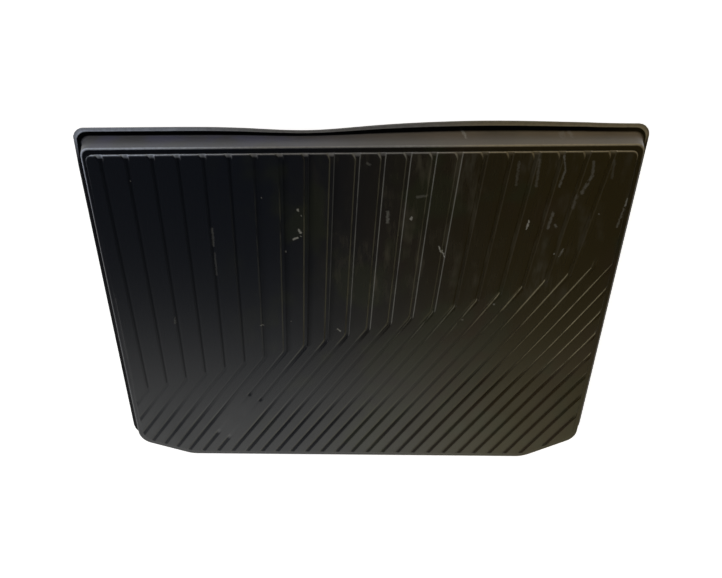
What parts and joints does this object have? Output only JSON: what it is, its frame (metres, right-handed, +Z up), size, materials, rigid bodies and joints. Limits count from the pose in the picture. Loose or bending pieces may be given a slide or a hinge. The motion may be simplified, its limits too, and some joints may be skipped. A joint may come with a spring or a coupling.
{
  "type": "car boot liner",
  "caption": "Moulded rubber car boot liner: a shallow rectangular tray with raised walls, an outward lip and bent grooves pressed into its underside.",
  "frame": {"origin": "centre of the bounding box in plan, on the plane that the rim rests on, with the tray lying face down", "axes": "+X along the long seat-side edge, +Y towards the rear seats (-Y towards the tailgate), +Z up, out of the grooved underside"},
  "size_m": [1.0826, 0.8314, 0.046],
  "materials": {
    "black_rubber": "satin moulded black rubber, fine grain, dusty scuffs and light wear"
  },
  "bodies": {
    "root": {"boot_liner": "black_rubber"}
  },
  "joints": []
}
